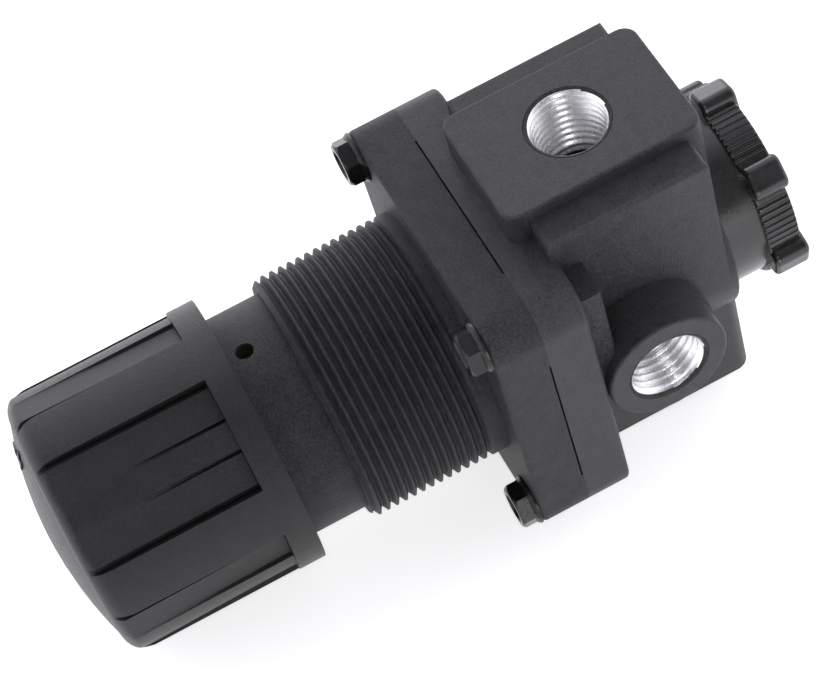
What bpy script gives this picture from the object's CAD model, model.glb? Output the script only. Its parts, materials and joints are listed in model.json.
"""Air pressure regulator: the looks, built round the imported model.

Pieces are drawn in millimetres and laid in the scene in metres. "Stem coordinates" put z up the
stem towards the knob, with zero on the bonnet flange's front face, x across the gauge ports and y
along the line ports. to_row() lays a mesh drawn that way into the row frame, where the stem runs
along -Y.
"""
import json
import math

import bmesh
import bpy
from mathutils import Matrix, Vector


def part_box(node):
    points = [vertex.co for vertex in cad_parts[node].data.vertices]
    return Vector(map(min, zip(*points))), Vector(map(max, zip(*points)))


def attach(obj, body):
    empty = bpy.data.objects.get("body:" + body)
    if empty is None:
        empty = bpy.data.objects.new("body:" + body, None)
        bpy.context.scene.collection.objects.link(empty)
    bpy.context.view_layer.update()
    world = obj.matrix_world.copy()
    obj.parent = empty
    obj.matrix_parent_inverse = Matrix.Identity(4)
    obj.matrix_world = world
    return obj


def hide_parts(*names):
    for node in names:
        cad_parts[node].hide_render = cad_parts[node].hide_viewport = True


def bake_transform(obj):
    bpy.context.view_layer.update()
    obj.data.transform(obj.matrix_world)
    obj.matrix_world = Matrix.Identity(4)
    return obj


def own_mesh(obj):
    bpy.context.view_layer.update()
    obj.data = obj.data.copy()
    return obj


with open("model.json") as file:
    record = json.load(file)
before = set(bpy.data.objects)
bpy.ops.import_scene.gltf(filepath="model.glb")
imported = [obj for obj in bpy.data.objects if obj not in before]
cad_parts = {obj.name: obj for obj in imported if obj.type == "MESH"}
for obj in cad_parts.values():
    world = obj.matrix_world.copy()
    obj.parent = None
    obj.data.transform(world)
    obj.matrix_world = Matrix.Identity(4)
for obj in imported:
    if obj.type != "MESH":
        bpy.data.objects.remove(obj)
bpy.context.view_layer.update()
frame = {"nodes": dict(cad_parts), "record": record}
NODES = frame["nodes"]
MM = 0.001


# ---------------------------------------------------------------- mesh helpers
def to_row(point):
    """Stem coordinates to the row frame."""
    return (point[0], -point[2], point[1])


def finish_mesh(name, mesh, material, sharp_angle=32):
    """Links a mesh as an object with smooth faces and sharp edges where it turns."""
    obj = bpy.data.objects.new(name, mesh)
    bpy.context.scene.collection.objects.link(obj)
    mesh.materials.clear()
    mesh.materials.append(material)
    mesh.shade_smooth()
    mesh.set_sharp_from_angle(angle=math.radians(sharp_angle))
    return obj


def mesh_from(name, vertices, faces):
    """Closed mesh from stem-coordinate points, laid in the row frame, normals outward."""
    mesh = bpy.data.meshes.new(name)
    mesh.from_pydata([to_row(v) for v in vertices], [], faces)
    clean(mesh)
    return mesh


def clean(mesh, distance=2e-6):
    """Merges points that coincide, drops empty faces and turns the normals outward."""
    bm = bmesh.new()
    bm.from_mesh(mesh)
    bmesh.ops.remove_doubles(bm, verts=bm.verts, dist=distance)
    bmesh.ops.dissolve_degenerate(bm, dist=distance, edges=bm.edges)
    bmesh.ops.recalc_face_normals(bm, faces=bm.faces)
    bm.to_mesh(mesh)
    bm.free()


def copy_of(node):
    """A welded copy of a CAD node's mesh, to cut and bevel."""
    mesh = NODES[node].data.copy()
    clean(mesh)
    return mesh


def apply_modifiers(obj):
    depsgraph = bpy.context.evaluated_depsgraph_get()
    mesh = bpy.data.meshes.new_from_object(obj.evaluated_get(depsgraph))
    obj.modifiers.clear()
    obj.data = mesh
    return obj


# ---------------------------------------------------------------- shapes in stem coordinates
def on_ring(radius, angle, height):
    """Point at a radius and an angle round the stem, in metres from millimetres."""
    return (radius * math.cos(angle) * MM, radius * math.sin(angle) * MM, height * MM)


def grid_faces(rows, columns, wrap):
    """Quads of a grid of points laid row after row. The columns close on themselves when wrap is on."""
    faces = []
    for row in range(rows - 1):
        for column in range(columns if wrap else columns - 1):
            after = (column + 1) % columns
            start = row * columns
            above = start + columns
            faces.append((start + column, start + after, above + after, above + column))
    return faces


def ring_faces(profiles, count):
    """Quads between open profiles of count points, set one after another round a closed ring."""
    faces = []
    for profile in range(profiles):
        here = profile * count
        there = (profile + 1) % profiles * count
        for index in range(count - 1):
            faces.append((here + index, there + index, there + index + 1, here + index + 1))
    return faces


def swept(sections):
    """Points and faces of a closed tube through equal sections, capped at both ends."""
    count = len(sections[0])
    vertices = [point for section in sections for point in section]
    faces = grid_faces(len(sections), count, wrap=True)
    faces.append(tuple(range(count))[::-1])
    last = (len(sections) - 1) * count
    faces.append(tuple(range(last, last + count)))
    return vertices, faces


def boolean_cut(obj, cutter):
    """Cuts one object from another and drops the cutter."""
    modifier = obj.modifiers.new("cut", "BOOLEAN")
    modifier.operation = "DIFFERENCE"
    modifier.solver = "EXACT"
    modifier.object = cutter
    apply_modifiers(obj)
    bpy.data.objects.remove(cutter)
    return obj


def even_shading(obj, sharp_angle):
    """Smooth shading that keeps large flat faces flat beside their rounded edges."""
    obj.data.shade_smooth()
    obj.data.set_sharp_from_angle(angle=math.radians(sharp_angle))
    weighted = obj.modifiers.new("weighted", "WEIGHTED_NORMAL")
    weighted.keep_sharp = True
    weighted.weight = 80
    apply_modifiers(obj)
    return obj


def soften(obj, width_mm, angle=30, merge=True):
    """Merges flat areas, then rounds the sharp edges."""
    if merge:
        flat = obj.modifiers.new("flat", "DECIMATE")
        flat.decimate_type = "DISSOLVE"
        flat.angle_limit = math.radians(1.0)
    bevel = obj.modifiers.new("bevel", "BEVEL")
    bevel.width = width_mm * MM
    bevel.segments = 2
    bevel.limit_method = "ANGLE"
    bevel.angle_limit = math.radians(angle)
    bevel.miter_outer = "MITER_ARC"
    apply_modifiers(obj)
    return obj


# ---------------------------------------------------------------- materials
SPECK_TO_GRAIN = 3.1       # how much finer the second grain is


def new_material(name):
    material = bpy.data.materials.new(name)
    material.use_nodes = True
    nodes = material.node_tree.nodes
    shader = next(n for n in nodes if n.type == "BSDF_PRINCIPLED")
    return material, nodes, material.node_tree.links, shader


def noise(nodes, links, coords, scale, detail=4.0, rough=0.55):
    texture = nodes.new("ShaderNodeTexNoise")
    texture.inputs["Scale"].default_value = scale
    texture.inputs["Detail"].default_value = detail
    texture.inputs["Roughness"].default_value = rough
    links.new(coords.outputs["Object"], texture.inputs["Vector"])
    return texture


def ramp(nodes, links, source, stops):
    """Colour ramp from a list of (position, colour)."""
    node = nodes.new("ShaderNodeValToRGB")
    elements = node.color_ramp.elements
    while len(elements) < len(stops):
        elements.new(0.5)
    for element, (position, colour) in zip(elements, stops):
        element.position = position
        element.color = (*colour, 1.0)
    links.new(source, node.inputs["Fac"])
    return node


def remap(nodes, links, source, low, high):
    node = nodes.new("ShaderNodeMapRange")
    node.inputs["From Min"].default_value = 0.3
    node.inputs["From Max"].default_value = 0.7
    node.inputs["To Min"].default_value = low
    node.inputs["To Max"].default_value = high
    links.new(source, node.inputs["Value"])
    return node


def bump(nodes, links, heights, distance, strength):
    """Chain of bump nodes, one for each height source."""
    previous = None
    for height in heights:
        node = nodes.new("ShaderNodeBump")
        node.inputs["Distance"].default_value = distance
        node.inputs["Strength"].default_value = strength
        links.new(height, node.inputs["Height"])
        if previous is not None:
            links.new(previous.outputs["Normal"], node.inputs["Normal"])
        previous = node
    return previous


def surface(name, dark, light, roughness, grain, metallic=0.0, bump_mm=0.02, bump_strength=0.3,
            blotch=90.0, specular=0.5, grain_share=0.3):
    """Moulded, painted or machined surface: uneven colour and roughness, and a fine raised grain.

    grain and blotch are noise scales per metre. grain_share is how much of the colour's
    unevenness comes from the grain, the rest coming from the wider blotches.
    """
    material, nodes, links, shader = new_material(name)
    coords = nodes.new("ShaderNodeTexCoord")
    cloud = noise(nodes, links, coords, blotch)
    fine = noise(nodes, links, coords, grain, detail=6.0, rough=0.65)
    speck = noise(nodes, links, coords, grain * SPECK_TO_GRAIN, detail=2.0)
    mixed = nodes.new("ShaderNodeMix")
    mixed.inputs["Factor"].default_value = grain_share
    links.new(cloud.outputs["Fac"], mixed.inputs["A"])
    links.new(fine.outputs["Fac"], mixed.inputs["B"])
    colour = ramp(nodes, links, mixed.outputs["Result"], [(0.36, dark), (0.64, light)])
    links.new(colour.outputs["Color"], shader.inputs["Base Color"])
    rough = remap(nodes, links, fine.outputs["Fac"], *roughness)
    links.new(rough.outputs["Result"], shader.inputs["Roughness"])
    heights = [fine.outputs["Fac"], speck.outputs["Fac"]]
    relief = bump(nodes, links, heights, bump_mm * MM, bump_strength)
    links.new(relief.outputs["Normal"], shader.inputs["Normal"])
    shader.inputs["Metallic"].default_value = metallic
    shader.inputs["Specular IOR Level"].default_value = specular
    return material


def grey(value, tint=(1.0, 1.0, 1.0)):
    return tuple(value * t for t in tint)


def cool(value):
    """Grey with the faint violet cast of the black paint and plastic."""
    return grey(value, (1.0, 0.97, 1.08))


MATERIALS = {
    "cast_body": surface(
        "cast_body", cool(0.003), cool(0.058), roughness=(0.26, 0.50), grain=2300,
        bump_mm=0.40, bump_strength=1.0, blotch=420, grain_share=0.8,
    ),
    "bonnet_plastic": surface(
        "bonnet_plastic", cool(0.003), cool(0.050), roughness=(0.40, 0.60), grain=2500,
        bump_mm=0.25, bump_strength=1.0, blotch=380, specular=0.32, grain_share=0.8,
    ),
    "black_screws": surface(
        "black_screws", grey(0.008), grey(0.022), roughness=(0.18, 0.34), grain=1800,
        metallic=0.4, bump_mm=0.03, bump_strength=0.5,
    ),
    "knob_plastic": surface(
        "knob_plastic", cool(0.002), cool(0.014), roughness=(0.30, 0.44), grain=2500,
        bump_mm=0.14, bump_strength=0.8, blotch=300, specular=0.34, grain_share=0.8,
    ),
    "plug_plastic": surface(
        "plug_plastic", grey(0.010), grey(0.024), roughness=(0.14, 0.26), grain=1900,
        bump_mm=0.04, bump_strength=0.4, blotch=300, specular=0.6,
    ),
    "bare_metal": surface(
        "bare_metal", grey(0.80), grey(0.98), roughness=(0.20, 0.40), grain=1400,
        metallic=0.9, bump_mm=0.03, bump_strength=0.4, blotch=300,
    ),
    "steel": surface(
        "steel", (0.50, 0.50, 0.49), (0.66, 0.66, 0.64), roughness=(0.22, 0.38), grain=800,
        metallic=1.0,
    ),
    "spring_steel": surface(
        "spring_steel", grey(0.30), grey(0.45), roughness=(0.25, 0.4), grain=900, metallic=1.0,
    ),
    "brass": surface(
        "brass", (0.60, 0.43, 0.19), (0.78, 0.60, 0.30), roughness=(0.2, 0.36), grain=800,
        metallic=1.0,
    ),
    "rubber": surface(
        "rubber", grey(0.012), grey(0.024), roughness=(0.6, 0.8), grain=900, bump_strength=0.5,
    ),
}


def paint_cad_nodes():
    """Gives every CAD node its record slot's material."""
    slots = {s["node"]: s["material_slot"] for s in frame["record"]["subparts"]}
    for name, obj in NODES.items():
        material = MATERIALS[slots.get(name, name)]
        for place in obj.material_slots:
            place.material = material
        if not obj.material_slots:
            obj.data.materials.append(material)


# ---------------------------------------------------------------- bonnet, body and knob
# The pieces' sizes are in millimetres and their named angles in degrees.
THREAD_PITCH = 1.5875      # 16 per inch
THREAD_START = 1.9         # first groove's height on the barrel
THREAD_END = 24.5          # the barrel's end
THREAD_ROOT = 20.35
THREAD_CLEAR = 21.5        # the cutter's outer radius, just past the barrel
THREAD_FLAT = 0.12         # half width of the groove's bottom
THREAD_STEPS = 72          # along one turn
RUN_IN = 0.4               # turns over which the groove reaches its depth
RUN_OUT = 1.2              # how far the groove goes on past the barrel's end


def thread_cutter():
    """The V groove of the panel thread, as one helical bar that runs off the barrel's end."""
    turns = (THREAD_END + RUN_OUT - THREAD_START) / THREAD_PITCH
    height = THREAD_CLEAR - THREAD_ROOT
    mouth = THREAD_FLAT + height * math.tan(math.radians(29.5))
    sections = []
    for step in range(int(turns * THREAD_STEPS)):
        angle = 2 * math.pi * step / THREAD_STEPS
        middle = THREAD_START + THREAD_PITCH * step / THREAD_STEPS
        depth_left = max(0.0, 1.0 - step / (RUN_IN * THREAD_STEPS))
        inner = THREAD_ROOT + (height - 0.05) * depth_left
        sections.append([
            on_ring(inner, angle, middle - THREAD_FLAT),
            on_ring(THREAD_CLEAR, angle, middle - mouth),
            on_ring(THREAD_CLEAR, angle, middle + mouth),
            on_ring(inner, angle, middle + THREAD_FLAT),
        ])
    vertices, faces = swept(sections)
    mesh = mesh_from("thread_cutter", vertices, faces)
    cutter = bpy.data.objects.new("thread_cutter", mesh)
    bpy.context.scene.collection.objects.link(cutter)
    return cutter


def stand_for(obj, node, body):
    """Puts a finished piece in a CAD node's place."""
    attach(obj, body)
    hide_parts(node)
    return obj


def build_bonnet():
    obj = finish_mesh("bonnet_moulding", copy_of("bonnet"), MATERIALS["bonnet_plastic"])
    soften(obj, 0.25)
    boolean_cut(obj, thread_cutter())
    even_shading(obj, 26)
    stand_for(obj, "bonnet", "housing")


def build_body():
    obj = finish_mesh("body_casting", copy_of("body"), MATERIALS["cast_body"])
    soften(obj, 0.3)
    even_shading(obj, 35)
    stand_for(obj, "body", "housing")


KNOB_REST_TURN = 55.5      # where one narrow rib points
KNOB_LANDS = 5
KNOB_OUTER = 23.0
KNOB_OPEN_END = 34.0
KNOB_BORE = 19.5
KNOB_ROUNDING = 4.0
RIB_RADIUS = 22.4
RIB_EDGE = 6.1             # half width of a narrow rib, degrees
LAND_EDGE = 24.4           # from the middle of a rib to the wide land's wall
PANEL_START = 38.7         # the collar's edge
PANEL_STOP = 64.3          # where the front's rounding starts
DOME_RIM = KNOB_OUTER - KNOB_ROUNDING
DOME_RISE = 3.0
DOME_START = PANEL_STOP + KNOB_ROUNDING
MARK_RADIUS = 15.6
MARK_RISE = 0.28


def dome_height(radius):
    """Height of the knob's domed front at a radius, millimetres."""
    ball = (DOME_RIM ** 2 + DOME_RISE ** 2) / (2 * DOME_RISE)
    return DOME_START + DOME_RISE - ball + math.sqrt(ball ** 2 - radius ** 2)


def arc_mark(start, end, width, head=False):
    """Raised arc on the dome. The last part narrows to a point when head is on."""
    steps = 24
    head_start = 0.72
    sections = []
    for step in range(steps + 1):
        share = step / steps
        angle = math.radians(start + (end - start) * share)
        half = width / 2
        if head and share > head_start:
            half = width * 1.25 * (1.0 - share) / (1.0 - head_start) + 0.02
        low, high = MARK_RADIUS - half, MARK_RADIUS + half
        sections.append([
            on_ring(low, angle, dome_height(low) - 0.4),
            on_ring(high, angle, dome_height(high) - 0.4),
            on_ring(high, angle, dome_height(high) + MARK_RISE),
            on_ring(low, angle, dome_height(low) + MARK_RISE),
        ])
    return swept(sections)


def bar_mark(angle, round_width, outward_width):
    """Short raised bar on the dome, from its widths round the dome and out from its middle."""
    half_turn = math.degrees(round_width / 2 / MARK_RADIUS)
    return arc_mark(angle - half_turn, angle + half_turn, outward_width)


def knob_turns():
    """Angles round the knob and from the nearest rib, closest together at the panels' edges."""
    half = [0, 3, 5.9, 6.2, 7.2, 7.5, 10, 14, 18, 21.9, 22.2, 23.3, 24.3, 24.5, 27, 30, 33]
    between = 360 / KNOB_LANDS
    period = [-turn for turn in half[:0:-1]] + half + [between / 2]
    return [(between * land + turn, abs(turn)) for land in range(KNOB_LANDS) for turn in period]


def panel_radius(turn, share):
    """Radius of the grip at an angle from the nearest rib, from the collar (0) to the front (1).

    A flat finger panel lies between the rib and the wide land, with a slot along each.
    """
    if turn <= RIB_EDGE:
        return RIB_RADIUS
    if turn >= LAND_EDGE:
        return KNOB_OUTER
    if turn > LAND_EDGE - 2.35:
        return KNOB_OUTER - (2.0 - 0.6 * share)
    near = RIB_RADIUS - (0.5 - 0.45 * share)
    far = KNOB_OUTER - (0.8 - 0.4 * share)
    from_rib = math.radians(turn - RIB_EDGE)
    from_land = math.radians(LAND_EDGE - turn)
    flat = near * far * math.sin(from_rib + from_land)
    radius = flat / (near * math.sin(from_rib) + far * math.sin(from_land))
    if turn < RIB_EDGE + 1.25:
        radius -= max(0.0, 0.9 * (1 - 1.6 * share))
    return radius


def knob_rows(from_rib):
    """Radius and height of each point of the knob for a list of angles from the nearest rib.

    The rows run from the open end over the outside, then back through the hub and the bore.
    """
    def plain(radius, height):
        return [(radius, height)] * len(from_rib)

    def grip(share, height, most=KNOB_OUTER):
        return [(min(most, panel_radius(turn, share)), height) for turn in from_rib]

    panel_steps, rounding_steps = 8, 7
    edge = 0.1
    rows = [plain(KNOB_OUTER, KNOB_OPEN_END), plain(KNOB_OUTER, PANEL_START - edge)]
    for step in range(panel_steps + 1):
        share = step / panel_steps
        rows.append(grip(share, PANEL_START + edge + (PANEL_STOP - PANEL_START) * share))
    for step in range(1, rounding_steps + 1):
        swing = math.radians(11 + 79 * step / rounding_steps)
        most = DOME_RIM + KNOB_ROUNDING * math.cos(swing)
        rows.append(grip(1.0, PANEL_STOP + KNOB_ROUNDING * math.sin(swing), most))
    for radius in (18.9, 18.0, 16.0, 13.0, 10.0, 6.0, 3.0, 0.0):
        rows.append(plain(radius, dome_height(radius)))

    hub, socket, bead = 7.5, 4.0, 18.8
    hub_end, socket_top, bore_top = 51.0, 64.3, 65.8
    bead_low, bead_high = 37.2, 37.8
    inside = [
        (0.0, socket_top), (socket, socket_top), (socket, hub_end + 0.3), (hub, hub_end),
        (hub, bore_top), (KNOB_BORE, bore_top), (KNOB_BORE, bead_high + 0.3), (bead, bead_high),
        (bead, bead_low), (KNOB_BORE, bead_low - 0.3), (KNOB_BORE, KNOB_OPEN_END),
    ]
    return rows + [plain(radius, height) for radius, height in inside]


def knob_mesh():
    """The knob as a grid of rows round its axis, the last row joined to the first."""
    turns = knob_turns()
    rows = knob_rows([from_rib for turn, from_rib in turns])
    rows.append(rows[0])
    vertices = []
    for row in rows:
        for (turn, from_rib), (radius, height) in zip(turns, row):
            vertices.append(on_ring(radius, math.radians(turn + KNOB_REST_TURN), height))
    return mesh_from("knob_moulding", vertices, grid_faces(len(rows), len(turns), wrap=True))


def build_knob():
    """Knob with generic raised marks: two arc arrows, a plus and a minus."""
    obj = finish_mesh("knob_moulding", knob_mesh(), MATERIALS["knob_plastic"])
    soften(obj, 0.14, angle=38, merge=False)
    even_shading(obj, 40)
    stand_for(obj, "adjusting_knob", "knob")

    long_side, short_side = 3.0, 0.9
    plus_at, minus_at = 108, 258
    shapes = [
        arc_mark(118, 168, 1.1, head=True),
        arc_mark(248, 198, 1.1, head=True),
        bar_mark(plus_at, long_side, short_side),
        bar_mark(plus_at, short_side, long_side),
        bar_mark(minus_at, long_side, short_side),
    ]
    for number, (vertices, faces) in enumerate(shapes, start=1):
        mesh = mesh_from(f"knob_mark_{number}", vertices, faces)
        mark = finish_mesh(mesh.name, mesh, MATERIALS["knob_plastic"])
        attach(mark, "knob")


# ---------------------------------------------------------------- screws
SCREW_SPACING = 22.0       # from the stem to a screw, both ways
SCREW_TURNS = [(1, 1, 14), (1, -1, 37), (-1, 1, 5), (-1, -1, 26)]
HEX_FLAT = 3.5             # half the width over the flats
HEX_TOP = 3.3
WASHER_RADIUS = 4.3
SHANK_RADIUS = 2.0
SHANK_TIP = -14.0


def screw_profile(angle):
    """Half section of a hex washer-head screw at one angle round it, in radians."""
    turn = (angle + math.pi / 6) % (math.pi / 3) - math.pi / 6
    corner = HEX_FLAT / math.cos(turn)
    shoulder = HEX_TOP - 0.9 * max(0.0, corner - HEX_FLAT)
    bevel = 0.12
    dish = HEX_TOP - 0.55
    return [
        (0.0, SHANK_TIP), (SHANK_RADIUS - 0.5, SHANK_TIP), (SHANK_RADIUS, SHANK_TIP + 0.6),
        (SHANK_RADIUS, 0.0), (WASHER_RADIUS, 0.0), (WASHER_RADIUS, 0.35), (WASHER_RADIUS - 0.35, 0.85),
        (corner, 0.95), (corner, shoulder - bevel), (HEX_FLAT - bevel, HEX_TOP),
        (2.6, HEX_TOP), (2.2, dish), (0.0, dish),
    ]


def build_screws():
    """Four hex washer-head screws with dished heads, each turned its own way."""
    segments = 72
    count = len(screw_profile(0.0))
    vertices, faces = [], []
    for x_side, y_side, turn in SCREW_TURNS:
        offset = len(vertices)
        for step in range(segments):
            angle = 2 * math.pi * step / segments
            for radius, height in screw_profile(angle):
                x, y, z = on_ring(radius, angle + math.radians(turn), height)
                vertices.append((x + x_side * SCREW_SPACING * MM, y + y_side * SCREW_SPACING * MM, z))
        faces += [tuple(offset + index for index in face) for face in ring_faces(segments, count)]
    mesh = mesh_from("screw_heads", vertices, faces)
    obj = finish_mesh("screw_heads", mesh, MATERIALS["black_screws"])
    stand_for(obj, "bonnet_screws", "housing")


# ---------------------------------------------------------------- port threads
PORT_PITCH = 25.4 / 18
PORT_CREST = 5.85          # at the mouth. Both radii shrink inward by the pipe thread's taper
PORT_ROOT = 6.78
PORT_TAPER = 1 / 32
LINER_RADIUS = 6.84        # where the tapped liner meets the body's plain bore
LIP_RADIUS = 6.75          # the countersink's edge
PAINTED_LIP = 0.45         # the countersink's depth, black like the body
PORT_PHASES = 8            # points across one thread
PORT_STEPS = 64            # points along one turn


def port_radius(phase, depth, length):
    """Radius of the tapped hole's wall at a depth, for one phase of the thread."""
    taper = depth * PORT_TAPER
    tooth = min(max(1 - abs(2 * phase - 1), 0.12), 0.86)
    fade = min(1.0, max(0.0, (length - depth) / PORT_PITCH))
    wall = PORT_CREST - taper + (PORT_ROOT - PORT_CREST) * (1 - tooth) * fade
    return max(wall, LIP_RADIUS - depth)


def port_thread(length):
    """Tapped sleeve as points (radius, angle, depth) and faces, closed against the bore's wall."""
    points = []
    sections = int((length / PORT_PITCH + 2) * PORT_STEPS)
    for section in range(sections + 1):
        angle = 2 * math.pi * (section % PORT_STEPS) / PORT_STEPS
        start = PORT_PITCH * (section / PORT_STEPS - 1)
        for index in range(PORT_PHASES + 1):
            phase = index / PORT_PHASES
            depth = min(max(start + PORT_PITCH * phase, 0.02), length)
            points.append((port_radius(phase, depth, length), angle, depth))
    faces = grid_faces(sections + 1, PORT_PHASES + 1, wrap=False)

    end = port_radius(0, length, length)
    back = [(LIP_RADIUS - 0.02, 0.02), (LINER_RADIUS, 0.06), (LINER_RADIUS, length), (end, length)]
    offset = len(points)
    for step in range(PORT_STEPS + 1):
        angle = 2 * math.pi * (step % PORT_STEPS) / PORT_STEPS
        points += [(radius, angle, depth) for radius, depth in back]
    back_faces = grid_faces(PORT_STEPS + 1, len(back), wrap=False)
    faces += [tuple(offset + index for index in face) for face in back_faces]
    return points, faces


def build_port_threads():
    """Bare metal tapped hole in each of the four ports, with a painted lip."""
    boss_rise = 1.0
    bottom_overlap = 0.6
    for mount in frame["record"]["mounts"]:
        if mount["kind"] != "threaded_hole":
            continue
        outward = Vector(mount["axis"])
        mouth = Vector(mount["pos_m"]) + outward * boss_rise * MM
        side = outward.orthogonal().normalized()
        other = outward.cross(side)
        points, faces = port_thread(mount["dims"]["length_mm"] + bottom_overlap)
        vertices = []
        for radius, angle, depth in points:
            spoke = side * math.cos(angle) + other * math.sin(angle)
            vertices.append(tuple(mouth - outward * depth * MM + spoke * radius * MM))
        mesh = bpy.data.meshes.new("thread_" + mount["name"])
        mesh.from_pydata(vertices, [], faces)
        clean(mesh, distance=4e-6)
        obj = finish_mesh(mesh.name, mesh, MATERIALS["bare_metal"], sharp_angle=40)
        obj.data.materials.append(MATERIALS["cast_body"])
        for face in obj.data.polygons:
            if (mouth - face.center).dot(outward) < PAINTED_LIP * MM:
                face.material_index = 1
        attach(obj, "housing")


# ---------------------------------------------------------------- springs and diaphragm
def spring_mesh(name, radius, wire, bottom, top, turns):
    """Coil of round wire with one closed, ground turn at each end."""
    steps = 40             # along one turn
    sides = 14             # round the wire
    end_rise = 1.6 * wire
    total = turns * steps
    sections = []
    for step in range(total + 1):
        from_bottom = min(step / steps, 1.0)
        from_top = min((total - step) / steps, 1.0)
        active = (step - steps) / (total - 2 * steps)
        low = bottom + 0.5 * wire + end_rise * from_bottom
        high = top - 0.5 * wire - end_rise * from_top
        if from_bottom < 1:
            middle = low
        elif from_top < 1:
            middle = high
        else:
            middle = low + (high - low) * active
        angle = 2 * math.pi * step / steps
        section = []
        for side in range(sides):
            around = 2 * math.pi * side / sides
            height = min(max(middle + wire * math.sin(around), bottom), top)
            section.append(on_ring(radius + wire * math.cos(around), angle, height))
        sections.append(section)
    return mesh_from(name, *swept(sections))


def coil_in_place(name, node, radius, wire, turns):
    """Coil that fills its CAD node's height, and the height of its fixed lower end."""
    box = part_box(node)
    low, high = -box[1].y / MM, -box[0].y / MM
    mesh = spring_mesh(name, radius, wire, low, high, turns)
    return finish_mesh(name, mesh, MATERIALS["spring_steel"]), low


def build_springs():
    spring, low = coil_in_place("range_coil", "range_spring", radius=12.0, wire=1.3, turns=8)
    stand_for(spring, "range_spring", "housing")
    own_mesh(spring)

    spring, low = coil_in_place("valve_coil", "valve_spring", radius=5.4, wire=0.45, turns=7)
    stand_for(spring, "valve_spring", "housing")
    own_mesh(spring)


DIAPHRAGM_UPPER, DIAPHRAGM_UNDER = -8.3, -9.5
DIAPHRAGM_HOLE, DIAPHRAGM_RIM = 3.02, 20.25
ROLL_MIDDLE = 15.45
ROLL_INNER, ROLL_OUTER = 13.4, 17.6
DIAPHRAGM_SECTORS = 12


def diaphragm_profile():
    """Half section of the rubber disc with its rolled convolution."""
    steps = 8
    top = [(DIAPHRAGM_HOLE, DIAPHRAGM_UPPER), (ROLL_INNER, DIAPHRAGM_UPPER)]
    bottom = []
    for step in range(steps + 1):
        across = math.cos(math.pi * step / steps)
        rise = math.sin(math.pi * step / steps)
        top.append((ROLL_MIDDLE - 1.75 * across, DIAPHRAGM_UPPER + 0.42 * rise))
        bottom.append((ROLL_MIDDLE + 0.95 * across, DIAPHRAGM_UNDER + 0.78 * rise))
    top += [(ROLL_OUTER, DIAPHRAGM_UPPER), (DIAPHRAGM_RIM, DIAPHRAGM_UPPER)]
    top += [(DIAPHRAGM_RIM, DIAPHRAGM_UNDER), (ROLL_OUTER, DIAPHRAGM_UNDER)]
    return top + bottom + [(ROLL_INNER, DIAPHRAGM_UNDER), (DIAPHRAGM_HOLE, DIAPHRAGM_UNDER)]


def build_diaphragm():
    """Rubber disc in sectors, each bending from the clamped rim to the moving plate."""
    profile = diaphragm_profile()
    width = 2 * math.pi / DIAPHRAGM_SECTORS
    steps = 6
    for sector in range(DIAPHRAGM_SECTORS):
        start = sector * width
        sections = []
        for step in range(steps + 1):
            angle = start + width * step / steps
            sections.append([on_ring(radius, angle, height) for radius, height in profile])
        name = f"diaphragm_sector_{sector + 1:02d}"
        obj = finish_mesh(name, mesh_from(name, *swept(sections)), MATERIALS["rubber"])
        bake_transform(obj)
        if sector == 0:
            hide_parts("diaphragm")


# ---------------------------------------------------------------- stage, light and camera
# The stage's lengths are in metres.
TENT_FRONT = (0.59, -0.10, 0.80)   # towards the camera
PAD_CONTACT = 0.006                # how far inside the body's end the floor touches the lower pad
KNOB_CONTACT = 0.003               # likewise at the knob's front
FLOOR_SIZE = 3.0


def add_floor():
    """Pale floor under the lying regulator, touching the lower port pad and the knob's rim."""
    pad_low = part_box("body")[0]
    knob_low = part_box("adjusting_knob")[0]
    pad_y = pad_low.y + PAD_CONTACT
    slope = math.atan2(knob_low.z - pad_low.z, pad_y - (knob_low.y + KNOB_CONTACT))
    bpy.ops.mesh.primitive_plane_add(size=FLOOR_SIZE)
    floor = bpy.context.object
    floor.name = "floor"
    floor.location = (0, pad_y, pad_low.z)
    floor.rotation_euler = (-slope, 0, 0)
    material, nodes, links, shader = new_material("floor_white")
    coords = nodes.new("ShaderNodeTexCoord")
    cloud = noise(nodes, links, coords, 6.0)
    colour = ramp(nodes, links, cloud.outputs["Fac"], [(0.3, grey(0.90)), (0.7, grey(0.93))])
    links.new(colour.outputs["Color"], shader.inputs["Base Color"])
    shader.inputs["Roughness"].default_value = 0.8
    shader.inputs["Emission Color"].default_value = (1, 1, 1, 1)
    shader.inputs["Emission Strength"].default_value = 0.62
    floor.data.materials.append(material)


def add_area_light(name, place, target, size, power):
    light = bpy.data.lights.new(name, "AREA")
    light.shape = "RECTANGLE"
    light.size, light.size_y = size
    light.energy = power
    obj = bpy.data.objects.new(name, light)
    obj.location = place
    obj.rotation_euler = (Vector(target) - Vector(place)).to_track_quat("-Z", "Y").to_euler()
    bpy.context.scene.collection.objects.link(obj)


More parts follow.
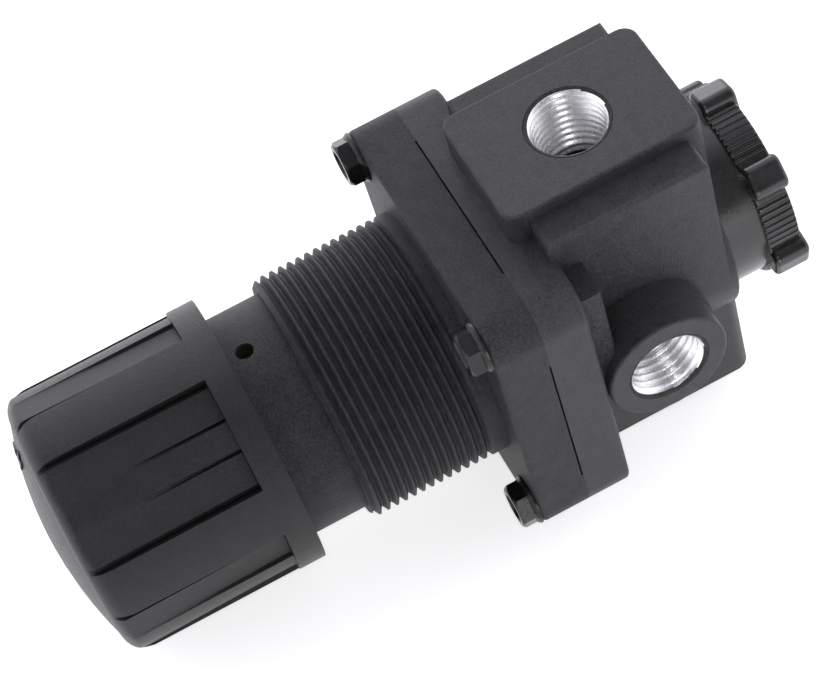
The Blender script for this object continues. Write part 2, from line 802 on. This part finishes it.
def add_world(bright, dim):
    """White light tent, dim towards its open front, where the camera stands."""
    world = bpy.data.worlds.new("light_tent")
    bpy.context.scene.world = world
    world.use_nodes = True
    nodes, links = world.node_tree.nodes, world.node_tree.links
    background = nodes["Background"]
    background.inputs["Color"].default_value = (0.98, 0.965, 1.05, 1)
    coords = nodes.new("ShaderNodeTexCoord")
    facing = nodes.new("ShaderNodeVectorMath")
    facing.operation = "DOT_PRODUCT"
    facing.inputs[1].default_value = TENT_FRONT
    links.new(coords.outputs["Generated"], facing.inputs[0])
    fade = nodes.new("ShaderNodeMapRange")
    fade.interpolation_type = "SMOOTHSTEP"
    fade.inputs["From Min"].default_value = 0.35
    fade.inputs["From Max"].default_value = 0.90
    fade.inputs["To Min"].default_value = bright
    fade.inputs["To Max"].default_value = dim
    links.new(facing.outputs["Value"], fade.inputs["Value"])
    links.new(fade.outputs["Result"], background.inputs["Strength"])


def add_camera():
    """Long lens above the lying regulator, on its gauge-port side, rolled with the product."""
    azimuth = math.radians(80.54)
    elevation = math.radians(53.26)
    roll = math.radians(20.09)
    distance = 0.4515
    target = Vector((-0.00073, -0.00571, -0.00212))
    back = Vector((
        math.sin(azimuth) * math.cos(elevation),
        -math.cos(azimuth) * math.cos(elevation),
        math.sin(elevation),
    ))
    level_up = (Vector((0, 0, 1)) - back * back.z).normalized()
    level_right = level_up.cross(back)
    up = level_up * math.cos(roll) + level_right * math.sin(roll)
    right = up.cross(back)
    turn = Matrix((right, up, back)).transposed().to_4x4()
    camera = bpy.data.cameras.new("camera")
    camera.lens = 121.3
    camera.sensor_width = 36.0
    camera.clip_start = 0.01
    obj = bpy.data.objects.new("camera", camera)
    obj.matrix_world = Matrix.Translation(target + back * distance) @ turn
    bpy.context.scene.collection.objects.link(obj)
    bpy.context.scene.camera = obj


bpy.context.scene.view_settings.view_transform = "Standard"
paint_cad_nodes()
build_bonnet()
build_body()
build_knob()
build_screws()
build_port_threads()
build_springs()
build_diaphragm()
add_floor()
add_world(bright=1.45, dim=0.26)
add_area_light("key", (-0.62, 0.10, 0.24), (0, 0, 0), (0.30, 0.40), 0.85)
add_area_light("front", (0.35, -0.06, 0.50), (0, 0.01, 0), (0.05, 0.05), 0.25)
add_area_light("side", (0.60, 0.02, 0.10), (0, 0.02, 0), (0.25, 0.25), 0.7)
add_camera()
